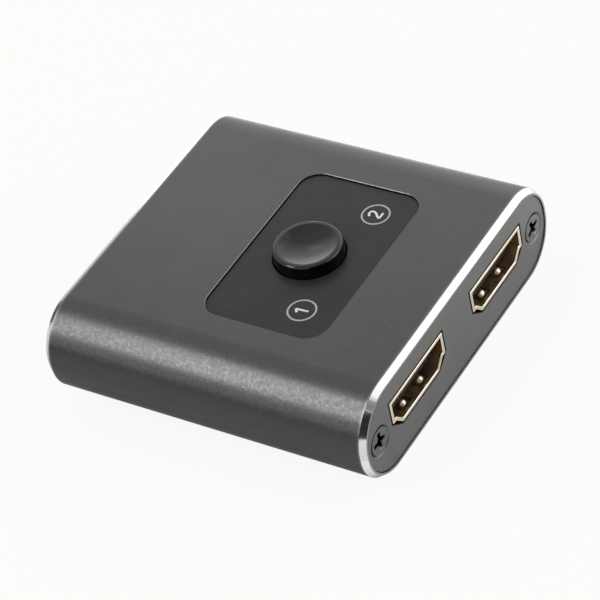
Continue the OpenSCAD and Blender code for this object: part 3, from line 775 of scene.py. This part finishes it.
class SWITCHBOX_OT_marks(bpy.types.Operator):
    """Prints a 1 and a 2, each in a ring, on the top panel above the lamps"""

    bl_idname = "switchbox.marks"
    bl_label = "Printed marks"

    def execute(self, context):
        s = sizes()
        apart = (LAMP_HIGH.x - LAMP_LOW.x) / 2 - LAMP_HALF
        along = (LAMP_HIGH.y + LAMP_LOW.y) / 2
        ink = self.ink(apart, along)
        marks = (
            ("mark_1", -apart, ((ONE_HOOK, True), (ONE_STEM, False))),
            ("mark_2", apart, ((TWO_BOW, True), (TWO_FOOT, False))),
        )
        for name, across, strokes in marks:
            bm = bmesh.new()
            self.ring(bm)
            self.digit(bm, name, strokes)
            bmesh.ops.translate(bm, vec=(across, along, PANEL_HIGH.z + s.ink / 2), verts=bm.verts)
            add_piece(name, finish_mesh(bm, name), ink, "case")
        return {"FINISHED"}

    def ink(self, apart, along):
        """Pale ink, lighter on the digits than on the rings."""
        s = sizes()
        f = Finish("pale_ink", roughness=0.55)
        across = f.minus(f.unsigned(f.x), apart)
        ahead = f.minus(f.y, along)
        inside = f.below(f.reach(across, ahead), s.ring_radius - 2 * s.ring_line)
        worn = f.noise(grain=0.15 * MM, detail=3.0)
        ring = f.tint(colours().ring, worn, spread=0.12)
        digit = f.tint(colours().digit, worn, spread=0.12)
        f.base(f.mix(inside, ring, digit))
        f.relief(f.bump(f.noise(grain=0.08 * MM), depth=0.002 * MM))
        return f

    def ring(self, bm):
        """Spins the ring from its flat section."""
        s = sizes()
        inner = s.ring_radius - s.ring_line
        low = -s.ink / 2
        high = s.ink / 2
        corners = ((inner, low), (s.ring_radius, low), (s.ring_radius, high), (inner, high))
        section = [bm.verts.new((radius, 0.0, z)) for radius, z in corners]
        loop = [bm.edges.new((section[i - 1], section[i])) for i in range(len(section))]
        bmesh.ops.spin(
            bm,
            geom=section + loop,
            cent=(0.0, 0.0, 0.0),
            axis=(0.0, 0.0, 1.0),
            angle=2 * math.pi,
            steps=RING_STEPS,
            use_merge=True,
        )

    def digit(self, bm, name, strokes):
        """Adds a digit's strokes, pressed flat to the ink's thickness."""
        s = sizes()
        mesh = stroke_mesh(name, strokes, s.digit_line / 2)
        flat = bmesh.new()
        flat.from_mesh(mesh)
        bmesh.ops.scale(flat, vec=(1.0, 1.0, s.ink / s.digit_line), verts=flat.verts)
        flat.to_mesh(mesh)
        flat.free()
        bm.from_mesh(mesh)
        bpy.data.meshes.remove(mesh)


class SWITCHBOX_OT_button(bpy.types.Operator):
    """Gives the button its polished black moulding"""

    bl_idname = "switchbox.button"
    bl_label = "Button"

    def execute(self, context):
        edge_start = 4.97 * MM
        edge_end = 5.03 * MM
        f = Finish("polished_button")
        f.base(f.tint(colours().button, f.noise(grain=2.5 * MM), spread=0.15))
        f.gloss(f.vary(f.noise(grain=0.5 * MM, detail=4.0), start=0.08, end=0.12))
        f.relief(f.bump(f.noise(grain=1.2 * MM), depth=0.001 * MM))
        ahead = f.minus(f.y, (BUTTON_LOW.y + BUTTON_HIGH.y) / 2)
        f.glance(f.ramp(f.reach(f.x, ahead), edge_start, edge_end, start=0.56, end=0.15))
        give("button_cap", f)
        return {"FINISHED"}


class SWITCHBOX_OT_sockets(bpy.types.Operator):
    """Gives the three sockets their plated shells, black mouldings, gold contacts and polished rims"""

    bl_idname = "switchbox.sockets"
    bl_label = "Sockets"

    def execute(self, context):
        moulding = self.moulding()
        gold = self.gold()
        front_polish = self.polish("front_rims", "input_2")
        rear_polish = self.polish("rear_rim", "output")
        sockets = (("input_1", -1, front_polish), ("input_2", -1, front_polish), ("output", 1, rear_polish))
        for socket, end, polish in sockets:
            give(socket + "_shell", self.shell(socket, end))
            give(socket + "_insulator", moulding)
            give(socket + "_contacts", gold)
            self.rim(socket, end, polish)
        give("switch_base", moulding)
        return {"FINISHED"}

    def moulding(self):
        """Black heat-proof moulding, a little matt."""
        f = Finish("black_moulding")
        f.glance(0.2)
        speck = f.noise(grain=0.3 * MM, detail=3.0)
        f.base(f.tint(colours().insulator, speck, spread=0.2))
        f.gloss(f.vary(speck, start=0.42, end=0.55))
        f.relief(f.bump(f.noise(grain=0.12 * MM), depth=0.003 * MM))
        return f

    def gold(self):
        """Gold plating, drawn along the contacts."""
        f = Finish("gold_contacts", metallic=1.0)
        spot = f.noise(grain=0.4 * MM, detail=3.0)
        f.base(f.tint(colours().contact, spot, spread=0.08))
        f.gloss(f.vary(spot, start=0.2, end=0.3))
        drawn = f.noise(grain=0.06 * MM, detail=1.0, vector=f.stretched(1.0, 0.05, 1.0))
        f.relief(f.bump(drawn, depth=0.001 * MM))
        return f

    def shell(self, socket, end):
        """Gold plating, with painted highlights on the dimples of the spring fingers and painted shade
        outside the shell.
        """
        s = sizes()
        c = colours()
        dimple_highlight_gold = (1.0, 0.93, 0.82)
        gap_shade_gold = shade(c.shell, 0.12)
        outer_layer = 0.7 * s.shell_wall
        dimple_dulling = 0.06
        low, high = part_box(socket + "_shell")
        mouth = low.y if end < 0 else high.y
        f = Finish(socket + "_plating", metallic=1.0)
        aside = f.unsigned(f.minus(f.x, (low.x + high.x) / 2))
        across = f.minus(aside, s.dimple_spread)
        along = f.minus(f.y, mouth - end * s.dimple_depth)
        dimple = f.below(f.reach(across, along), s.dimple_radius)
        cloud = f.noise(grain=1.2 * MM, detail=3.0)
        # Paler gold on the dimples is a painted highlight for the bright spots that they catch.
        plating = f.mix(dimple, f.tint(c.shell, cloud, spread=0.06), dimple_highlight_gold)
        # Painted shade on the shell's outside, down in the gap round it.
        shaded_outside = f.above(outward(f, socket), outer_layer)
        f.base(f.mix(shaded_outside, plating, gap_shade_gold))
        f.gloss(f.plus(f.vary(cloud, start=0.28, end=0.36), f.times(dimple, dimple_dulling)))
        f.relief(f.bump(f.noise(grain=0.25 * MM), depth=0.002 * MM))
        return f

    def polish(self, name, socket):
        """Polished pale gold, with painted shade on the outer side, down in the gap round the shell."""
        s = sizes()
        c = colours()
        f = Finish(name, metallic=1.0)
        cloud = f.noise(grain=0.8 * MM, detail=3.0)
        outer = (s.shell_wall + s.rim_width) / 2
        side_start = outer - 0.06 * MM
        side_end = outer - 0.03 * MM
        shade_start = 0.03 * MM
        shade_end = 0.08 * MM
        gap_shade_gold = shade(c.shell, 0.06)
        depth = f.minus(s.rim_proud + PLATE_FACE, f.unsigned(f.y))
        # Painted shade on the rim's outer side, down in the gap round the shell.
        side = f.times(
            f.ramp(outward(f, socket), side_start, side_end),
            f.ramp(depth, shade_start, shade_end),
        )
        f.base(f.mix(side, f.tint(c.rim, cloud, spread=0.03), gap_shade_gold))
        f.gloss(f.vary(cloud, start=0.2, end=0.28))
        f.relief(f.bump(f.noise(grain=0.1 * MM), depth=0.001 * MM))
        return f

    def rim(self, socket, end, finish):
        """Lays a polished rim round the mouth of a shell, along the middle of its sheet."""
        s = sizes()
        half = s.opening_width / 2
        up = s.opening_height / 2
        right = [
            Vector((half - s.toe_inset, -up)),
            Vector((half - s.step_width, up - s.side_height)),
            Vector((half, up - s.side_height)),
            Vector((half, up)),
        ]
        opening = right + [Vector((-point.x, point.y)) for point in reversed(right)]
        low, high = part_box(socket + "_shell")
        middle = (low.x + high.x) / 2
        level = high.z - s.shell_wall - up
        front = end * (PLATE_FACE + s.rim_proud)
        bm = bmesh.new()
        outlines = []
        for grow in ((s.shell_wall - s.rim_width) / 2, (s.shell_wall + s.rim_width) / 2):
            outline = grown(opening, grow)
            ring = [bm.verts.new((middle + point.x, front, level + point.y)) for point in outline]
            outlines += [bm.edges.new((ring[i - 1], ring[i])) for i in range(len(ring))]
        face = bmesh.ops.bridge_loops(bm, edges=outlines)["faces"]
        made = bmesh.ops.extrude_face_region(bm, geom=face, use_keep_orig=True)["geom"]
        deep = [item for item in made if isinstance(item, bmesh.types.BMVert)]
        bmesh.ops.translate(bm, vec=(0.0, -end * s.rim_depth, 0.0), verts=deep)
        bmesh.ops.recalc_face_normals(bm, faces=bm.faces)
        corners = [
            edge for edge in bm.edges
            if abs(edge.verts[0].co.y - edge.verts[1].co.y) > s.rim_depth / 2
        ]
        soften(bm, corners, s.bend, BEND_SEGMENTS)
        sharp_angle = math.radians(60)
        hair = 0.01 * MM
        sharp = [
            edge for edge in bm.edges
            if edge.is_manifold
            and edge.calc_face_angle() > sharp_angle
            and all(abs(vert.co.y - front) < hair for vert in edge.verts)
        ]
        soften(bm, sharp, s.rim_round, ROUND_SEGMENTS)
        add_piece(socket + "_rim", finish_mesh(bm, socket + "_rim"), finish, "case")


class SWITCHBOX_OT_inside(bpy.types.Operator):
    """Gives the circuit board, its parts and the push switch their finishes"""

    bl_idname = "switchbox.inside"
    bl_label = "Board and switch"

    def execute(self, context):
        plain = (
            ("tinned_cover", "switch_cover", 1.0, (0.6, 0.6, 0.58), 0.35, 0.8 * MM),
            ("white_plunger", "switch_plunger", 0.0, (0.8, 0.8, 0.76), 0.45, 0.6 * MM),
            ("tinned_pins", "switch_pins", 1.0, (0.7, 0.68, 0.62), 0.35, 0.3 * MM),
            ("chip_epoxy", "signal_chip", 0.0, (0.015, 0.015, 0.016), 0.6, 0.3 * MM),
            ("lamp_resin", "indicator_lamps", 0.0, (0.8, 0.78, 0.6), 0.15, 0.5 * MM),
        )
        gloss_spread = 0.05
        for name, node, metallic, base, roughness, grain in plain:
            f = Finish(name, metallic=metallic)
            cloud = f.noise(grain=grain, detail=3.0)
            f.base(f.tint(base, cloud, spread=0.08))
            f.gloss(f.vary(cloud, roughness - gloss_spread, roughness + gloss_spread))
            f.relief(f.bump(f.noise(grain=grain / 4), depth=0.002 * MM))
            give(node, f)
        self.board()
        self.chip_parts("capacitors", "fired_capacitor", (0.34, 0.2, 0.1))
        self.chip_parts("resistors", "glazed_resistor", (0.02, 0.02, 0.022))
        return {"FINISHED"}

    def board(self):
        """Green lacquer over raised tracks, with bare laminate at the edges."""
        laminate = (0.42, 0.36, 0.2)
        green = colours().board
        pale_green = shade(green, 1.7)
        half_level = 0.5
        middle = 0.5
        track_width = 0.03
        f = Finish("lacquered_board")
        face = f.above(f.unsigned(f.facing()[2]), half_level)
        tracks = f.noise(grain=1.6 * MM, detail=0.0, vector=f.stretched(1.0, 0.2, 1.0))
        line = f.below(f.unsigned(f.minus(tracks, middle)), track_width)
        lacquer = f.tint(green, f.noise(grain=3.0 * MM, detail=3.0), spread=0.12)
        lacquer = f.mix(line, lacquer, pale_green)
        f.base(f.mix(face, laminate, lacquer))
        f.gloss(f.vary(f.noise(grain=0.5 * MM, detail=3.0), start=0.28, end=0.4))
        f.relief(f.bump(line, depth=0.01 * MM))
        give("circuit_board", f)

    def chip_parts(self, node, name, base):
        """A fired body with tinned ends, which repeat along Y with the parts."""
        tin = (0.7, 0.7, 0.68)
        count = 4
        part = 1.6 * MM
        cap = 0.3 * MM
        hair = 0.005 * MM
        low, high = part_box(node)
        pitch = (high.y - low.y - part) / (count - 1)
        f = Finish(name)
        turn = f.math("DIVIDE", f.minus(f.y, low.y + part / 2), pitch)
        off = f.times(f.unsigned(f.minus(turn, f.math("ROUND", turn))), pitch)
        end = f.above(off, part / 2 - cap - hair)
        f.base(f.mix(end, f.tint(base, f.noise(grain=0.2 * MM), spread=0.15), tin))
        f.put(end, f.shader.inputs["Metallic"])
        f.gloss(f.vary(f.noise(grain=0.3 * MM), start=0.3, end=0.45))
        f.relief(f.bump(f.noise(grain=0.08 * MM), depth=0.002 * MM))
        give(node, f)


class SWITCHBOX_OT_spring(bpy.types.Operator):
    """Winds the return spring under the button"""

    bl_idname = "switchbox.spring"
    bl_label = "Return spring"

    def execute(self, context):
        s = sizes()
        steel = self.steel()
        give("switch_spring", steel)
        low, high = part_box("switch_spring")
        middle = (low + high) / 2
        radius = (high.x - low.x - s.spring_wire) / 2
        steps = STEPS_PER_CURL * s.spring_curls
        rise = high.z - low.z - s.spring_wire
        start = Matrix.Translation((middle.x + radius, middle.y, low.z + s.spring_wire / 2))
        upright = Matrix.Rotation(math.pi / 2, 4, "X")
        bm = bmesh.new()
        bmesh.ops.create_circle(bm, segments=WIRE_SIDES, radius=s.spring_wire / 2, matrix=start @ upright)
        bmesh.ops.spin(
            bm,
            geom=bm.verts[:] + bm.edges[:],
            cent=middle,
            axis=(0.0, 0.0, 1.0),
            dvec=(0.0, 0.0, rise / steps),
            angle=2 * math.pi * s.spring_curls,
            steps=steps,
        )
        bmesh.ops.holes_fill(bm, edges=[edge for edge in bm.edges if edge.is_boundary])
        spring = add_piece("return_spring", finish_mesh(bm, "return_spring"), steel, "case")
        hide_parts("switch_spring")
        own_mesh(spring)
        return {"FINISHED"}

    def steel(self):
        """Bright drawn wire."""
        wire = (0.6, 0.6, 0.58)
        f = Finish("spring_steel", metallic=1.0)
        drawn = f.noise(grain=0.05 * MM, detail=2.0, vector=f.stretched(1.0, 1.0, 4.0))
        f.base(f.tint(wire, f.noise(grain=0.2 * MM, detail=3.0), spread=0.08))
        f.gloss(f.vary(drawn, start=0.25, end=0.35))
        f.relief(f.bump(drawn, depth=0.001 * MM))
        return f


class SWITCHBOX_OT_stage(bpy.types.Operator):
    """Sets the floor, the soft lights, the white surroundings and the camera"""

    bl_idname = "switchbox.stage"
    bl_label = "Stage"

    def execute(self, context):
        scene = context.scene
        scene.view_settings.view_transform = "Standard"
        self.floor(scene)
        self.surroundings(scene)
        self.light(scene, FRONT_LAMP, stage().front)
        self.light(scene, SIDE_LAMP, stage().side)
        for card in CARDS:
            self.card(scene, card)
        self.camera(scene)
        return {"FINISHED"}

    def floor(self, scene):
        """A pale floor that the camera sees as white, with the box's shadow on it."""
        bm = bmesh.new()
        bmesh.ops.create_grid(bm, x_segments=1, y_segments=1, size=FLOOR_SIZE)
        bmesh.ops.translate(bm, vec=(0.0, 0.0, CAD_LOW.z - FLOOR_GAP), verts=bm.verts)
        f = Finish("pale_floor", roughness=0.9)
        f.glance(0.0)
        f.base(f.tint(colours().floor, f.noise(grain=0.2), spread=0.01))
        path = f.add("ShaderNodeLightPath")
        reflected = f.most(path.outputs["Is Glossy Ray"], path.outputs["Is Transmission Ray"])
        seen = f.times(path.outputs["Is Camera Ray"], stage().clear)
        white = f.add("ShaderNodeEmission")
        white.inputs["Color"].default_value = (*FLOOR_WHITE, 1.0)
        f.blend_light(f.most(seen, f.times(reflected, stage().mirrored)), f.shader, white)
        self.stand(scene, "floor", bm, f)

    def stand(self, scene, name, bm, finish):
        """Puts a mesh into the scene as part of the stage."""
        mesh = bpy.data.meshes.new(name)
        bm.to_mesh(mesh)
        bm.free()
        mesh.materials.append(finish.material)
        thing = bpy.data.objects.new(name, mesh)
        scene.collection.objects.link(thing)
        return thing

    def surroundings(self, scene):
        """White surroundings, brighter at eye level than overhead."""
        world = bpy.data.worlds.new("white_studio")
        world.use_nodes = True
        tree = world.node_tree
        light = tree.nodes["Background"]
        light.inputs["Color"].default_value = (1.0, 1.0, 1.0, 1.0)
        way = tree.nodes.new("ShaderNodeTexCoord")
        parts = tree.nodes.new("ShaderNodeSeparateXYZ")
        fade = tree.nodes.new("ShaderNodeMapRange")
        fade.inputs["To Min"].default_value = stage().horizon
        fade.inputs["To Max"].default_value = stage().zenith
        tree.links.new(way.outputs["Generated"], parts.inputs[0])
        tree.links.new(parts.outputs["Z"], fade.inputs["Value"])
        tree.links.new(fade.outputs["Result"], light.inputs["Strength"])
        scene.world = world

    def light(self, scene, lamp, watts):
        """A soft rectangular light that looks at the box."""
        light = bpy.data.lights.new(lamp.name, "AREA")
        light.shape = "RECTANGLE"
        light.size, light.size_y = lamp.size
        light.energy = watts
        holder = bpy.data.objects.new(lamp.name, light)
        away = Vector(lamp.way).normalized()
        turn = away.to_track_quat("Z", "Y").to_matrix().to_4x4()
        rolled = Matrix.Rotation(math.radians(lamp.roll), 4, "Z")
        holder.matrix_world = Matrix.Translation(away * LAMP_DISTANCE) @ turn @ rolled
        holder.visible_camera = False
        scene.collection.objects.link(holder)

    def card(self, scene, card):
        """Stands a card on its foot, leaning and turned, whose glow fades out at its sides."""
        width, height = card.size
        bm = bmesh.new()
        bmesh.ops.create_grid(bm, x_segments=1, y_segments=1, size=HALF_METRE)
        bmesh.ops.scale(bm, vec=(height, width, 1.0), verts=bm.verts)
        bmesh.ops.translate(bm, vec=(-height / 2, 0.0, 0.0), verts=bm.verts)
        for angle, axis in ((90.0 - card.lean, "Y"), (card.turn, "Z")):
            turned = Matrix.Rotation(math.radians(angle), 3, axis)
            bmesh.ops.rotate(bm, cent=(0.0, 0.0, 0.0), matrix=turned, verts=bm.verts)
        foot = Vector(card.foot)
        bmesh.ops.translate(bm, vec=(foot.x, foot.y, foot.z + CAD_LOW.z), verts=bm.verts)
        f = Finish(card.name)
        glow = card.glow[0][1]
        for (low, before), (high, after) in zip(card.glow, card.glow[1:]):
            glow = f.plus(f.ramp(f.z, low, high, 0.0, after - before), glow)
        turn = math.radians(card.turn)
        along = Vector((-math.sin(turn), math.cos(turn)))
        place = f.plus(f.times(f.x, along.x), f.times(f.y, along.y))
        aside = f.minus(place, along.dot(foot.xy))
        if card.spot is not None:
            across, up, radius, extra = card.spot
            reach = f.reach(f.minus(aside, across), f.minus(f.z, up))
            glow = f.plus(glow, f.ramp(reach, 0.0, radius, start=extra, end=0.0))
        pale = f.add("ShaderNodeEmission")
        f.put(glow, pale.inputs["Strength"])
        clear = f.add("ShaderNodeBsdfTransparent")
        f.blend_light(f.ramp(f.unsigned(aside), width / 4, width / 2), pale, clear)
        thing = self.stand(scene, card.name, bm, f)
        thing.visible_camera = False
        thing.visible_diffuse = False
        thing.visible_shadow = False

    def camera(self, scene):
        """The camera at the photograph's place and angle."""
        lens = bpy.data.cameras.new("camera")
        lens.lens = stage().lens
        lens.sensor_width = SENSOR_WIDTH
        lens.dof.use_dof = False
        holder = bpy.data.objects.new("camera", lens)
        turn = Matrix((CAMERA_RIGHT, CAMERA_UP, CAMERA_BACK)).transposed().to_4x4()
        holder.matrix_world = Matrix.Translation(CAMERA_PLACE) @ turn
        scene.collection.objects.link(holder)
        scene.camera = holder


OPERATORS = (
    SWITCHBOX_OT_stage,
    SWITCHBOX_OT_sleeve,
    SWITCHBOX_OT_end_plates,
    SWITCHBOX_OT_screws,
    SWITCHBOX_OT_panel,
    SWITCHBOX_OT_marks,
    SWITCHBOX_OT_button,
    SWITCHBOX_OT_sockets,
    SWITCHBOX_OT_inside,
    SWITCHBOX_OT_spring,
)


class SWITCHBOX_PT_panel(bpy.types.Panel):
    """Lists the steps and the sizes, colours and lights that they use"""

    bl_idname = "SWITCHBOX_PT_panel"
    bl_label = "Switch Box"
    bl_space_type = "VIEW_3D"
    bl_region_type = "UI"
    bl_category = "Switch Box"

    def draw(self, context):
        for operator in OPERATORS:
            self.layout.operator(operator.bl_idname)
        for group in (sizes(), colours(), stage()):
            box = self.layout.box()
            for name in group.__annotations__:
                box.prop(group, name)


CLASSES = (SwitchBoxSizes, SwitchBoxColours, SwitchBoxStage) + OPERATORS + (SWITCHBOX_PT_panel,)


def register():
    for item in CLASSES:
        bpy.utils.register_class(item)
    bpy.types.Scene.switch_box_sizes = PointerProperty(type=SwitchBoxSizes)
    bpy.types.Scene.switch_box_colours = PointerProperty(type=SwitchBoxColours)
    bpy.types.Scene.switch_box_stage = PointerProperty(type=SwitchBoxStage)


def unregister():
    del bpy.types.Scene.switch_box_stage
    del bpy.types.Scene.switch_box_colours
    del bpy.types.Scene.switch_box_sizes
    for item in reversed(CLASSES):
        bpy.utils.unregister_class(item)


def main():
    register()
    bpy.ops.switchbox.stage()
    bpy.ops.switchbox.sleeve()
    bpy.ops.switchbox.end_plates()
    bpy.ops.switchbox.screws()
    bpy.ops.switchbox.panel()
    bpy.ops.switchbox.marks()
    bpy.ops.switchbox.button()
    bpy.ops.switchbox.sockets()
    bpy.ops.switchbox.inside()
    bpy.ops.switchbox.spring()


if __name__ == "__main__":
    main()
